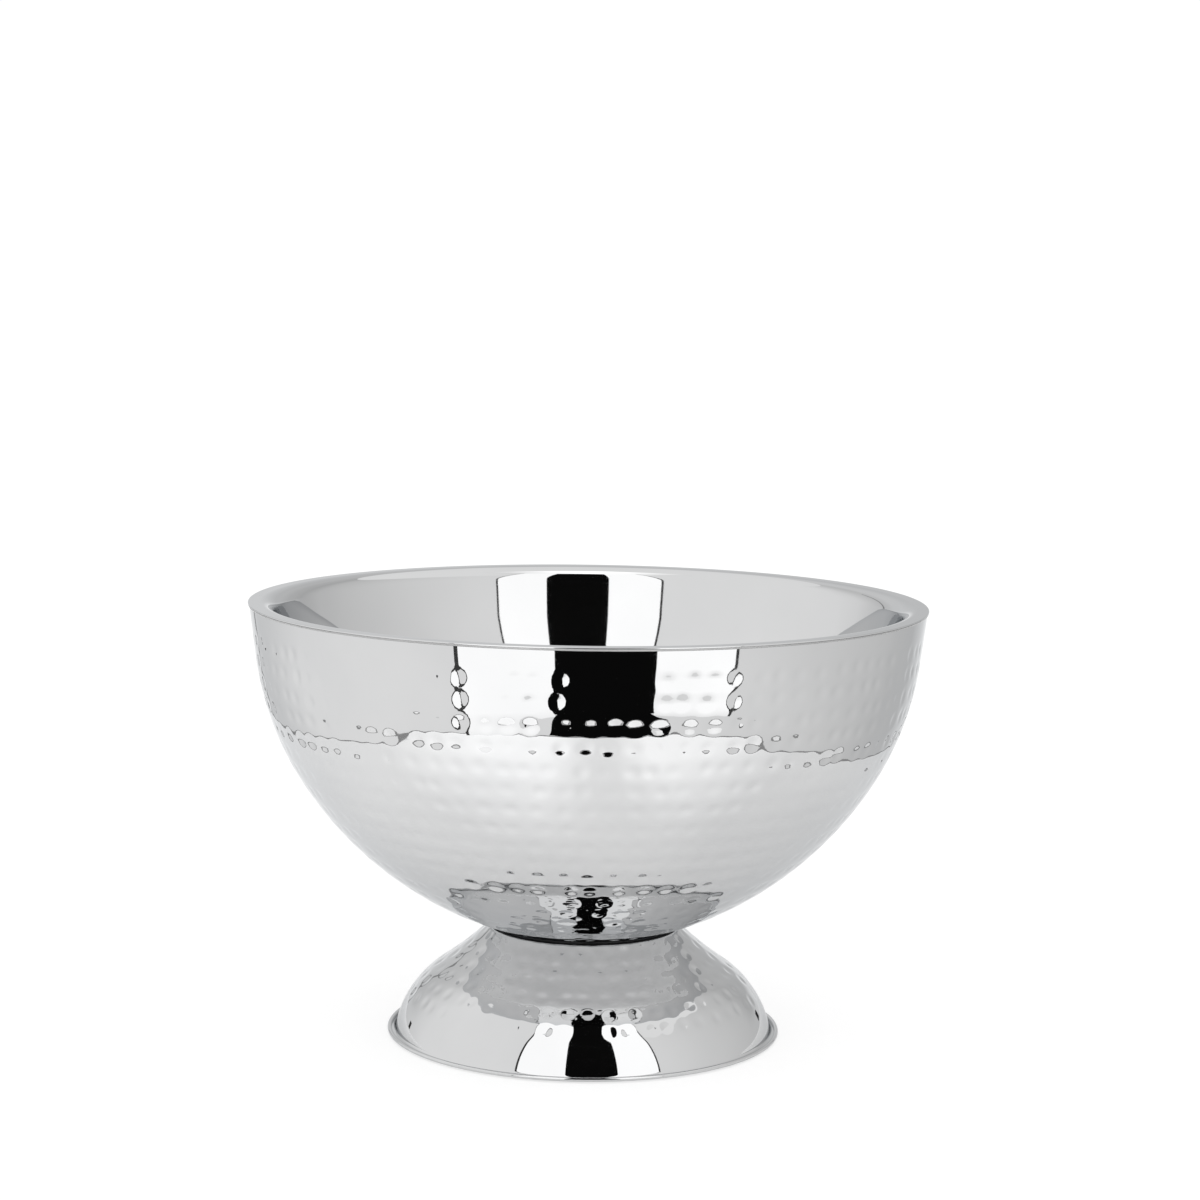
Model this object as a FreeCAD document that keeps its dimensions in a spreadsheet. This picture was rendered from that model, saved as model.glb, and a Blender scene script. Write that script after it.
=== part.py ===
import FreeCAD, Part
import math
import os

import Sketcher

# A double-wall punch bowl on a pedestal foot. Millimetres, +Z up.
# The origin is the bottom centre: Z = 0 is the surface that the foot stands on,
# and the Z axis is the axis that the bowl and the foot are turned about.

DIMENSIONS = [
    # name, value, what it is
    ("overall_height", 245.0, "foot to rim"),
    ("rim_radius", 190.0, "outer edge of the rim flange"),
    ("liner_thickness", 0.9, "sheet of the inner bowl and its flange"),
    ("liner_radius", 174.0, "inside of the inner bowl, part of a sphere"),
    ("liner_centre_rise", 10.0, "centre of that sphere above the rim"),
    ("liner_lean", 13.0, "straight wall above that sphere, degrees from upright"),
    ("rim_roll_radius", 9.0, "inside roll from the flange into the bowl"),
    ("shell_thickness", 0.8, "sheet of the hammered outer shell"),
    ("shell_top_radius", 189.3, "outside of the outer shell under the flange"),
    ("band_lean", 7.25, "smooth straight band below the flange, degrees from upright"),
    ("band_length", 29.1, "that band along its slope"),
    ("side_arc_radius", 168.0, "outside of the shell's side"),
    ("side_arc_end", 145.0, "height where the side turns into the bottom"),
    ("bottom_arc_radius", 205.0, "outside of the shell's bottom"),
    ("shell_floor_height", 62.6, "flat underneath the outer shell"),
    ("seam_width", 0.6, "weld seam under the flange"),
    ("seam_drop", 1.0, "weld seam down the shell"),
    ("foot_thickness", 0.8, "sheet of the foot"),
    ("foot_top_height", 61.0, "shelf that the bowl stands on"),
    ("foot_top_radius", 54.1, "edge of that shelf"),
    ("neck_arc_radius", 200.0, "hollow arc below the shelf"),
    ("neck_arc_end", 37.0, "height where the neck turns into the shoulder"),
    ("shoulder_arc_radius", 57.0, "round shoulder of the foot"),
    ("flare_radius", 2.0, "small hollow arc into the foot's flange"),
    ("flare_centre_radius", 108.5, "centre of that arc from the axis"),
    ("bead_radius", 1.2, "rolled edge of the foot"),
    ("bead_centre_radius", 110.0, "middle of the rolled edge from the axis"),
    ("bead_closing_angle", 190.0, "where the rolled edge ends, from level"),
    ("gasket_inner_radius", 38.0, "rubber ring between foot and bowl"),
    ("gasket_outer_radius", 52.0, "rubber ring between foot and bowl"),
    ("plate_radius", 45.0, "stiffening plate inside the outer shell"),
    ("plate_thickness", 1.5, "stiffening plate inside the outer shell"),
    ("stud_radius", 4.0, "M8 stud"),
    ("stud_head_radius", 10.0, "head of the stud on the plate"),
    ("stud_head_height", 2.5, "head of the stud on the plate"),
    ("stud_end_height", 46.0, "lower end of the stud"),
    ("stud_chamfer", 1.0, "lower end of the stud"),
    ("stud_hole_radius", 4.3, "hole for the stud in the sheets and washers"),
    ("clamp_washer_radius", 20.0, "wide washer under the foot's shelf"),
    ("clamp_washer_thickness", 2.0, "wide washer under the foot's shelf"),
    ("spring_washer_radius", 7.4, "M8 spring washer"),
    ("spring_washer_thickness", 2.0, "M8 spring washer"),
    ("spring_washer_gap", 2.2, "split in the spring washer"),
    ("nut_width", 13.0, "M8 nut across its flats"),
    ("nut_thickness", 6.5, "M8 nut"),
    ("nut_bore_radius", 4.05, "M8 nut over the stud"),
    ("nut_chamfer", 0.9, "corners of the nut, down from each face"),
    ("cut_overrun", 1.0, "how far the outline of a cut runs out past the metal"),
]
SIZE = {name: value for name, value, note in DIMENSIONS}

# Ends of a piece of an outline, and the sketch's own origin and vertical axis.
START, END, CENTRE = 1, 2, 3
ORIGIN = (-1, 1)
VERTICAL_AXIS = -2

doc = FreeCAD.newDocument("punch_bowl")


def make_sheet():
    sheet = doc.addObject("Spreadsheet::Sheet", "Sizes")
    for row, (name, value, note) in enumerate(DIMENSIONS, start=1):
        sheet.set(f"A{row}", name)
        sheet.set(f"B{row}", str(value))
        sheet.setAlias(f"B{row}", name)
        sheet.set(f"C{row}", note)
    doc.recompute()


def new_body(name):
    body = doc.addObject("PartDesign::Body", name)
    body.Label = name
    body.Placement = FreeCAD.Placement()
    return body


def origin_plane(body, role):
    for feature in body.Origin.OriginFeatures:
        if feature.Role == role:
            return feature
    raise ValueError(role)


class Outline:
    """A sketch on one of a body's origin planes.

    On XZ_Plane, across is the distance from the axis and up is the height.
    Edges are first drawn about where they belong; the constraints then hold them
    to the sheet's sizes.
    """

    def __init__(self, body, role="XZ_Plane"):
        self.body = body
        self.sketch = body.newObject("Sketcher::SketchObject", f"{body.Label}_outline")
        self.sketch.AttachmentSupport = [(origin_plane(body, role), "")]
        self.sketch.MapMode = "FlatFace"

    def line(self, start, end):
        edge = Part.LineSegment(FreeCAD.Vector(*start, 0), FreeCAD.Vector(*end, 0))
        return self.sketch.addGeometry(edge, False)

    def arc(self, centre, radius, first_angle, last_angle):
        """A round stretch, counter-clockwise from first_angle to last_angle, in degrees."""
        circle = Part.Circle(FreeCAD.Vector(*centre, 0), FreeCAD.Vector(0, 0, 1), radius)
        edge = Part.ArcOfCircle(circle, math.radians(first_angle), math.radians(last_angle))
        return self.sketch.addGeometry(edge, False)

    def rule(self, kind, *places):
        return self.sketch.addConstraint(Sketcher.Constraint(kind, *places))

    def size(self, kind, drawn, expression, *places):
        """A size bound to the sheet; drawn is its value in the first drawing."""
        number = self.rule(kind, *places, drawn)
        self.sketch.setExpression(f"Constraints[{number}]", expression)

    def across(self, piece, end, expression):
        drawn = self.sketch.getPoint(piece, end).x
        self.size("DistanceX", drawn, expression, *ORIGIN, piece, end)

    def up(self, piece, end, expression):
        drawn = self.sketch.getPoint(piece, end).y
        self.size("DistanceY", drawn, expression, *ORIGIN, piece, end)

    def radius(self, piece, expression):
        self.size("Radius", self.sketch.Geometry[piece].Radius, expression, piece)

    def centre_on_axis(self, piece, expression):
        self.rule("PointOnObject", piece, CENTRE, VERTICAL_AXIS)
        self.up(piece, CENTRE, expression)

    def same_centre(self, piece, other):
        self.rule("Coincident", piece, CENTRE, other, CENTRE)

    def join(self, *corners):
        """Each corner is (piece, end, next piece, its end)."""
        for corner in corners:
            self.rule("Coincident", *corner)

    def smooth(self, *corners):
        """Corners where the two pieces run into each other without a kink."""
        for corner in corners:
            self.rule("Tangent", *corner)

    def polygon(self, points):
        """Straight pieces through the points and back to the first, joined up."""
        pieces = []
        for number, point in enumerate(points):
            pieces.append(self.line(points[number - 1], point))
        for number, piece in enumerate(pieces):
            self.rule("Coincident", pieces[number - 1], END, piece, START)
        return pieces

    def turn(self):
        """Turns the outline a whole turn about the axis into a solid."""
        solid = self.body.newObject("PartDesign::Revolution", f"{self.body.Label}_turn")
        solid.Profile = self.sketch
        solid.ReferenceAxis = (self.sketch, ["V_Axis"])
        solid.Angle = 360
        return solid


def arc_point(centre, radius, angle):
    """The point of a circle at an angle in degrees."""
    turned = math.radians(angle)
    return (centre[0] + radius * math.cos(turned), centre[1] + radius * math.sin(turned))


def angle_at_height(centre, radius, height):
    """The angle in degrees where the right half of a circle reaches a height."""
    return math.degrees(math.asin((height - centre[1]) / radius))


def make_inner_liner():
    """The smooth inner bowl, one sheet: sphere, straight wall, rolled lip and flat flange."""
    body = new_body("inner_liner")
    outline = Outline(body)
    thick = SIZE["liner_thickness"]
    rim = SIZE["overall_height"]
    bowl_radius = SIZE["liner_radius"]
    lean = SIZE["liner_lean"]
    roll = SIZE["rim_roll_radius"]
    bowl_centre = (0, rim + SIZE["liner_centre_rise"])
    wall_low = arc_point(bowl_centre, bowl_radius, -lean)
    wall_rise = rim - roll + roll * math.sin(math.radians(lean)) - wall_low[1]
    wall_top = (wall_low[0] + wall_rise * math.tan(math.radians(lean)), wall_low[1] + wall_rise)
    roll_centre = arc_point(wall_top, roll, -lean)
    edge_centre = (SIZE["rim_radius"] - thick / 2, rim - thick / 2)
    under_low = arc_point(bowl_centre, bowl_radius + thick, -lean)
    under_top = arc_point(roll_centre, roll - thick, 180 - lean)

    inside = outline.arc(bowl_centre, bowl_radius, -90, -lean)
    inside_wall = outline.line(wall_low, wall_top)
    inside_roll = outline.arc(roll_centre, roll, 90, 180 - lean)
    flange_top = outline.line((roll_centre[0], rim), (edge_centre[0], rim))
    flange_edge = outline.arc(edge_centre, thick / 2, -90, 90)
    flange_under = outline.line((edge_centre[0], rim - thick), (roll_centre[0], rim - thick))
    outside_roll = outline.arc(roll_centre, roll - thick, 90, 180 - lean)
    outside_wall = outline.line(under_low, under_top)
    outside = outline.arc(bowl_centre, bowl_radius + thick, -90, -lean)
    axis_end = outline.line(
        (0, bowl_centre[1] - bowl_radius - thick), (0, bowl_centre[1] - bowl_radius)
    )
    outline.centre_on_axis(inside, "Sizes.overall_height + Sizes.liner_centre_rise")
    outline.same_centre(outside, inside)
    outline.same_centre(outside_roll, inside_roll)
    outline.smooth(
        (inside, END, inside_wall, START),
        (inside_wall, END, inside_roll, END),
        (inside_roll, START, flange_top, START),
        (flange_top, END, flange_edge, END),
        (flange_edge, START, flange_under, START),
        (flange_under, END, outside_roll, START),
        (outside_roll, END, outside_wall, END),
        (outside_wall, START, outside, END),
    )
    outline.join(
        (outside, START, axis_end, START),
        (axis_end, END, inside, START),
    )
    outline.rule("Horizontal", flange_top)
    outline.rule("Horizontal", flange_under)
    outline.rule("Parallel", outside_wall, inside_wall)
    outline.rule("PointOnObject", axis_end, START, VERTICAL_AXIS)
    outline.rule("PointOnObject", axis_end, END, VERTICAL_AXIS)
    outline.radius(inside, "Sizes.liner_radius")
    outline.radius(outside, "Sizes.liner_radius + Sizes.liner_thickness")
    outline.radius(inside_roll, "Sizes.rim_roll_radius")
    wall_slope = math.radians(90 - lean)
    outline.size("Angle", wall_slope, "(90 - Sizes.liner_lean) * 1deg", inside_wall)
    outline.up(flange_top, START, "Sizes.overall_height")
    outline.across(flange_edge, CENTRE, "Sizes.rim_radius - Sizes.liner_thickness / 2")
    outline.turn()
    return body


def make_outer_shell():
    """The outer wall, one sheet: straight band, round side, flatter bottom and a holed floor."""
    body = new_body("outer_shell")
    outline = Outline(body)
    thick = SIZE["shell_thickness"]
    top = SIZE["overall_height"] - SIZE["liner_thickness"]
    lean = SIZE["band_lean"]
    side = SIZE["side_arc_radius"]
    bottom = SIZE["bottom_arc_radius"]
    floor_low = SIZE["shell_floor_height"]
    floor_high = floor_low + thick
    hole = SIZE["stud_hole_radius"]
    band_top = (SIZE["shell_top_radius"], top)
    band_low = arc_point(band_top, SIZE["band_length"], -90 - lean)
    side_centre = arc_point(band_low, side, 180 - lean)
    turn = angle_at_height(side_centre, side, SIZE["side_arc_end"])
    bottom_centre = arc_point(arc_point(side_centre, side, turn), bottom, turn + 180)
    first = angle_at_height(bottom_centre, bottom, floor_low)
    side_under = side - thick
    bottom_under = bottom - thick
    inner_band_low = arc_point(side_centre, side_under, -lean)
    inner_band_top = (band_top[0] - thick, top)

    band = outline.line(band_low, band_top)
    side_outside = outline.arc(side_centre, side, turn, -lean)
    bottom_outside = outline.arc(bottom_centre, bottom, first, turn)
    floor_under = outline.line((hole, floor_low), arc_point(bottom_centre, bottom, first))
    hole_wall = outline.line((hole, floor_high), (hole, floor_low))
    floor_upper = outline.line(arc_point(bottom_centre, bottom_under, first), (hole, floor_high))
    bottom_inside = outline.arc(bottom_centre, bottom_under, first, turn)
    side_inside = outline.arc(side_centre, side_under, turn, -lean)
    inner_band = outline.line(inner_band_low, inner_band_top)
    top_edge = outline.line(band_top, inner_band_top)
    outline.smooth(
        (band, START, side_outside, END),
        (side_outside, START, bottom_outside, END),
        (bottom_inside, END, side_inside, START),
        (side_inside, END, inner_band, START),
    )
    outline.join(
        (bottom_outside, START, floor_under, END),
        (floor_under, START, hole_wall, END),
        (hole_wall, START, floor_upper, END),
        (floor_upper, START, bottom_inside, START),
        (inner_band, END, top_edge, END),
        (top_edge, START, band, END),
    )
    outline.same_centre(side_inside, side_outside)
    outline.same_centre(bottom_inside, bottom_outside)
    for level in (top_edge, floor_under, floor_upper):
        outline.rule("Horizontal", level)
    outline.rule("Vertical", hole_wall)
    outline.rule("Parallel", inner_band, band)
    outline.across(band, END, "Sizes.shell_top_radius")
    outline.up(band, END, "Sizes.overall_height - Sizes.liner_thickness")
    outline.size("Angle", math.radians(90 - lean), "(90 - Sizes.band_lean) * 1deg", band)
    outline.size("Distance", SIZE["band_length"], "Sizes.band_length", band)
    outline.radius(side_outside, "Sizes.side_arc_radius")
    outline.radius(side_inside, "Sizes.side_arc_radius - Sizes.shell_thickness")
    outline.up(side_outside, START, "Sizes.side_arc_end")
    outline.radius(bottom_outside, "Sizes.bottom_arc_radius")
    outline.up(floor_under, START, "Sizes.shell_floor_height")
    outline.up(floor_upper, END, "Sizes.shell_floor_height + Sizes.shell_thickness")
    outline.across(hole_wall, START, "Sizes.stud_hole_radius")
    outline.turn()
    return body


def make_rim_seam_weld():
    """The dressed weld bead in the corner below the flange, against the outer shell."""
    body = new_body("rim_seam_weld")
    outline = Outline(body)
    top = SIZE["overall_height"] - SIZE["liner_thickness"]
    shell = SIZE["shell_top_radius"]
    drop = SIZE["seam_drop"]
    low_point = (shell - drop * math.tan(math.radians(SIZE["band_lean"])), top - drop)
    against_shell, against_flange, face = outline.polygon(
        [(shell, top), (shell + SIZE["seam_width"], top), low_point]
    )
    outline.rule("Horizontal", against_flange)
    outline.across(against_flange, START, "Sizes.shell_top_radius")
    outline.up(against_flange, START, "Sizes.overall_height - Sizes.liner_thickness")
    outline.across(face, START, "Sizes.shell_top_radius + Sizes.seam_width")
    outline.up(face, END, "Sizes.overall_height - Sizes.liner_thickness - Sizes.seam_drop")
    outline.across(
        against_shell, START, "Sizes.shell_top_radius - Sizes.seam_drop * tan(Sizes.band_lean * 1deg)"
    )
    outline.turn()
    return body


def make_pedestal_foot():
    """The foot, one sheet: shelf, hollow neck, round shoulder, flared flange and rolled edge."""
    body = new_body("pedestal_foot")
    outline = Outline(body)
    thick = SIZE["foot_thickness"]
    shelf = SIZE["foot_top_height"]
    shelf_edge = SIZE["foot_top_radius"]
    hole = SIZE["stud_hole_radius"]
    neck = SIZE["neck_arc_radius"]
    shoulder = SIZE["shoulder_arc_radius"]
    flare = SIZE["flare_radius"]
    bead = SIZE["bead_radius"]
    closing = SIZE["bead_closing_angle"]
    flare_centre = (SIZE["flare_centre_radius"], thick + flare)
    bead_centre = (SIZE["bead_centre_radius"], bead)
    # First drawing only: the wall's lean from upright at the shelf, the neck's end and the flare.
    shelf_lean = 45
    neck_lean = 56
    flare_lean = 13
    neck_centre = arc_point((shelf_edge, shelf), neck, shelf_lean)
    neck_end = arc_point(neck_centre, neck, neck_lean + 180)
    shoulder_centre = arc_point(neck_end, shoulder, neck_lean + 180)
    neck_under = neck + thick
    shoulder_under = shoulder - thick

    shelf_top = outline.line((hole, shelf), (shelf_edge, shelf))
    neck_top = outline.arc(neck_centre, neck, shelf_lean + 180, neck_lean + 180)
    shoulder_top = outline.arc(shoulder_centre, shoulder, flare_lean, neck_lean)
    flare_top = outline.arc(flare_centre, flare, flare_lean + 180, 270)
    flange_top = outline.line((flare_centre[0], thick), (bead_centre[0], thick))
    bead_inside = outline.arc(bead_centre, bead - thick, -90, closing)
    bead_end = outline.line(
        arc_point(bead_centre, bead - thick, closing), arc_point(bead_centre, bead, closing)
    )
    bead_outside = outline.arc(bead_centre, bead, -90, closing)
    flange_under = outline.line((bead_centre[0], 0), (flare_centre[0], 0))
    flare_under = outline.arc(flare_centre, flare + thick, flare_lean + 180, 270)
    shoulder_inside = outline.arc(shoulder_centre, shoulder_under, flare_lean, neck_lean)
    neck_inside = outline.arc(neck_centre, neck_under, shelf_lean + 180, neck_lean + 180)
    shelf_under = outline.line(
        arc_point(neck_centre, neck_under, shelf_lean + 180), (hole, shelf - thick)
    )
    hole_wall = outline.line((hole, shelf - thick), (hole, shelf))
    outline.join(
        (hole_wall, END, shelf_top, START),
        (shelf_top, END, neck_top, START),
        (bead_inside, END, bead_end, START),
        (bead_end, END, bead_outside, END),
        (neck_inside, START, shelf_under, START),
        (shelf_under, END, hole_wall, START),
    )
    outline.same_centre(neck_inside, neck_top)
    outline.same_centre(shoulder_inside, shoulder_top)
    outline.same_centre(flare_under, flare_top)
    outline.same_centre(bead_inside, bead_outside)
    outline.smooth(
        (neck_top, END, shoulder_top, END),
        (shoulder_top, START, flare_top, START),
        (flare_top, END, flange_top, START),
        (flange_top, END, bead_inside, START),
        (bead_outside, START, flange_under, START),
        (flange_under, END, flare_under, END),
        (flare_under, START, shoulder_inside, START),
        (shoulder_inside, END, neck_inside, END),
    )
    for level in (shelf_top, shelf_under, flange_top, flange_under):
        outline.rule("Horizontal", level)
    outline.rule("Vertical", hole_wall)
    outline.across(hole_wall, END, "Sizes.stud_hole_radius")
    outline.up(shelf_top, START, "Sizes.foot_top_height")
    outline.up(shelf_under, END, "Sizes.foot_top_height - Sizes.foot_thickness")
    outline.across(shelf_top, END, "Sizes.foot_top_radius")
    outline.radius(neck_top, "Sizes.neck_arc_radius")
    outline.radius(neck_inside, "Sizes.neck_arc_radius + Sizes.foot_thickness")
    outline.up(neck_top, END, "Sizes.neck_arc_end")
    outline.radius(shoulder_top, "Sizes.shoulder_arc_radius")
    outline.radius(flare_top, "Sizes.flare_radius")
    outline.up(flange_top, START, "Sizes.foot_thickness")
    outline.across(flare_top, CENTRE, "Sizes.flare_centre_radius")
    outline.across(bead_outside, CENTRE, "Sizes.bead_centre_radius")
    outline.up(bead_outside, CENTRE, "Sizes.bead_radius")
    outline.rule("PointOnObject", bead_outside, CENTRE, bead_end)
    end_slope = math.radians(closing - 360)
    outline.size("Angle", end_slope, "(Sizes.bead_closing_angle - 360) * 1deg", bead_end)
    outline.turn()
    return body


def turn_ring(body, inner, outer, low, high):
    """Turns a flat ring: each of its four sizes is (drawn value, expression)."""
    outline = Outline(body)
    corners = [(inner[0], low[0]), (outer[0], low[0]), (outer[0], high[0]), (inner[0], high[0])]
    inner_wall, under, outer_wall, upper = outline.polygon(corners)
    outline.rule("Vertical", inner_wall)
    outline.rule("Horizontal", under)
    outline.rule("Vertical", outer_wall)
    outline.rule("Horizontal", upper)
    outline.across(inner_wall, START, inner[1])
    outline.across(outer_wall, START, outer[1])
    outline.up(under, START, low[1])
    outline.up(upper, START, high[1])
    outline.turn()


# Heights of the fastening's stack, from the shell's floor up and from the foot's shelf down.
# Each is (drawn value, expression).
PLATE_LOW = (
    SIZE["shell_floor_height"] + SIZE["shell_thickness"],
    "Sizes.shell_floor_height + Sizes.shell_thickness",
)


def raised(level, name):
    return (level[0] + SIZE[name], f"{level[1]} + Sizes.{name}")


def lowered(level, name):
    return (level[0] - SIZE[name], f"{level[1]} - Sizes.{name}")


def plain(name):
    return (SIZE[name], f"Sizes.{name}")


PLATE_HIGH = raised(PLATE_LOW, "plate_thickness")
HEAD_HIGH = raised(PLATE_HIGH, "stud_head_height")
CLAMP_HIGH = lowered(plain("foot_top_height"), "foot_thickness")
CLAMP_LOW = lowered(CLAMP_HIGH, "clamp_washer_thickness")
SPRING_LOW = lowered(CLAMP_LOW, "spring_washer_thickness")
NUT_LOW = lowered(SPRING_LOW, "nut_thickness")


def make_joint_gasket():
    """The rubber ring between the foot's shelf and the floor of the outer shell."""
    body = new_body("joint_gasket")
    inner = plain("gasket_inner_radius")
    outer = plain("gasket_outer_radius")
    turn_ring(body, inner, outer, plain("foot_top_height"), plain("shell_floor_height"))
    return body


def make_backing_plate():
    """The stiffening disc on the outer shell's floor, in the closed space between the walls."""
    body = new_body("backing_plate")
    turn_ring(body, plain("stud_hole_radius"), plain("plate_radius"), PLATE_LOW, PLATE_HIGH)
    return body


def make_base_stud():
    """The stud: a flat head on the backing plate and a shank down through the foot."""
    body = new_body("base_stud")
    outline = Outline(body)
    shank = SIZE["stud_radius"]
    head = SIZE["stud_head_radius"]
    low = SIZE["stud_end_height"]
    chamfer = SIZE["stud_chamfer"]
    head_low = PLATE_HIGH[0]
    head_high = HEAD_HIGH[0]
    axis, end_face, bevel, shank_wall, head_under, head_wall, head_top = outline.polygon(
        [
            (0, low),
            (shank - chamfer, low),
            (shank, low + chamfer),
            (shank, head_low),
            (head, head_low),
            (head, head_high),
            (0, head_high),
        ]
    )
    outline.rule("PointOnObject", axis, START, VERTICAL_AXIS)
    outline.rule("PointOnObject", axis, END, VERTICAL_AXIS)
    for level in (end_face, head_under, head_top):
        outline.rule("Horizontal", level)
    for upright in (shank_wall, head_wall):
        outline.rule("Vertical", upright)
    outline.up(end_face, START, "Sizes.stud_end_height")
    outline.across(bevel, START, "Sizes.stud_radius - Sizes.stud_chamfer")
    outline.up(bevel, END, "Sizes.stud_end_height + Sizes.stud_chamfer")
    outline.across(shank_wall, START, "Sizes.stud_radius")
    outline.up(head_under, START, PLATE_HIGH[1])
    outline.across(head_wall, START, "Sizes.stud_head_radius")
    outline.up(head_top, START, HEAD_HIGH[1])
    outline.turn()
    return body


def make_clamp_washer():
    body = new_body("clamp_washer")
    inner = plain("stud_hole_radius")
    turn_ring(body, inner, plain("clamp_washer_radius"), CLAMP_LOW, CLAMP_HIGH)
    return body


def cut_checked(body, feature):
    """Makes a cutting feature the body's tip and proves that it took something away."""
    before = body.Shape.Volume
    body.Tip = feature
    doc.recompute()
    if body.Shape.Volume >= before:
        raise ValueError(f"{feature.Name} cut nothing")


def make_spring_washer():
    """A ring split through one side."""
    body = new_body("spring_washer")
    inner = plain("stud_hole_radius")
    turn_ring(body, inner, plain("spring_washer_radius"), SPRING_LOW, CLAMP_LOW)
    doc.recompute()
    slot = Outline(body, "XY_Plane")
    slot.sketch.Label = "spring_washer_split"
    half = SIZE["spring_washer_gap"] / 2
    reach = SIZE["spring_washer_radius"] + SIZE["cut_overrun"]
    left, near, right, far = slot.polygon([(0, -half), (reach, -half), (reach, half), (0, half)])
    slot.rule("Vertical", left)
    slot.rule("Horizontal", near)
    slot.rule("Vertical", right)
    slot.rule("Horizontal", far)
    slot.across(left, START, "0")
    slot.across(right, START, "Sizes.spring_washer_radius + Sizes.cut_overrun")
    slot.up(near, START, "-Sizes.spring_washer_gap / 2")
    slot.up(far, START, "Sizes.spring_washer_gap / 2")
    doc.recompute()
    split = body.newObject("PartDesign::Pocket", "spring_washer_pocket")
    split.Profile = slot.sketch
    split.Type = "ThroughAll"
    split.Reversed = True
    cut_checked(body, split)
    return body


def make_hex_nut():
    """A hexagon with its corners turned off at both faces, over the stud."""
    body = new_body("hex_nut")
    hexagon = Outline(body, "XY_Plane")
    hexagon.sketch.Label = "hex_nut_flats"
    hexagon.sketch.AttachmentOffset = FreeCAD.Placement(
        FreeCAD.Vector(0, 0, NUT_LOW[0]), FreeCAD.Rotation()
    )
    hexagon.sketch.setExpression("AttachmentOffset.Base.z", NUT_LOW[1])
    corner_radius = SIZE["nut_width"] / math.sqrt(3)
    sides = hexagon.polygon([arc_point((0, 0), corner_radius, 60 * turn) for turn in range(6)])
    guide_circle = Part.Circle(FreeCAD.Vector(), FreeCAD.Vector(0, 0, 1), corner_radius)
    guide = hexagon.sketch.addGeometry(guide_circle, True)
    hexagon.rule("Coincident", guide, CENTRE, *ORIGIN)
    for side in sides:
        hexagon.rule("PointOnObject", side, START, guide)
    for side in sides[1:]:
        hexagon.rule("Equal", sides[0], side)
    hexagon.rule("PointOnObject", sides[1], START, -1)
    hexagon.radius(guide, "Sizes.nut_width / sqrt(3)")
    bore_circle = Part.Circle(FreeCAD.Vector(), FreeCAD.Vector(0, 0, 1), SIZE["nut_bore_radius"])
    bore = hexagon.sketch.addGeometry(bore_circle, False)
    hexagon.rule("Coincident", bore, CENTRE, *ORIGIN)
    hexagon.radius(bore, "Sizes.nut_bore_radius")
    pad = body.newObject("PartDesign::Pad", "hex_nut_pad")
    pad.Profile = hexagon.sketch
    pad.setExpression("Length", "Sizes.nut_thickness")
    doc.recompute()

    for level, way, sign in ((NUT_LOW, 1, "+"), (SPRING_LOW, -1, "-")):
        cut_nut_corners(body, corner_radius, level, way, sign)
    return body


def cut_nut_corners(body, corner_radius, level, way, sign):
    """Turns the six corners off at one face; way and sign point into the nut."""
    flat = SIZE["nut_width"] / 2
    beyond = corner_radius + SIZE["cut_overrun"]
    bevel = Outline(body)
    slope, face, upright = bevel.polygon(
        [(flat, level[0]), (beyond, level[0]), (beyond, level[0] + way * SIZE["nut_chamfer"])]
    )
    bevel.rule("Horizontal", face)
    bevel.rule("Vertical", upright)
    bevel.across(face, START, "Sizes.nut_width / 2")
    bevel.up(face, START, level[1])
    bevel.across(face, END, "Sizes.nut_width / sqrt(3) + Sizes.cut_overrun")
    bevel.up(slope, START, f"{level[1]} {sign} Sizes.nut_chamfer")
    doc.recompute()
    groove = body.newObject("PartDesign::Groove", "hex_nut_groove")
    groove.Profile = bevel.sketch
    groove.ReferenceAxis = (bevel.sketch, ["V_Axis"])
    groove.Angle = 360
    cut_checked(body, groove)


def check(bodies):
    """Stops on anything that failed to rebuild, a loose sketch or a shape that isn't one solid."""
    for item in doc.Objects:
        if "Invalid" in item.State or "Error" in item.State:
            raise ValueError(f"{item.Name}: {item.State}")
        if item.TypeId == "Sketcher::SketchObject" and not item.FullyConstrained:
            raise ValueError(f"{item.Name} isn't fully constrained")
    for body in bodies:
        if body.Shape.isNull() or not body.Shape.isValid() or len(body.Shape.Solids) != 1:
            raise ValueError(f"{body.Label} isn't one valid solid")


def export(bodies):
    os.makedirs("parts", exist_ok=True)
    for body in bodies:
        body.Shape.exportStep(f"parts/{body.Label}.step")
        print(f"{body.Label}: {body.Shape.Volume:.0f} mm3")


make_sheet()
BODIES = [
    make_inner_liner(),
    make_outer_shell(),
    make_rim_seam_weld(),
    make_pedestal_foot(),
    make_joint_gasket(),
    make_backing_plate(),
    make_base_stud(),
    make_clamp_washer(),
    make_spring_washer(),
    make_hex_nut(),
]
doc.recompute()
check(BODIES)
export(BODIES)
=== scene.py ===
import math

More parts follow.
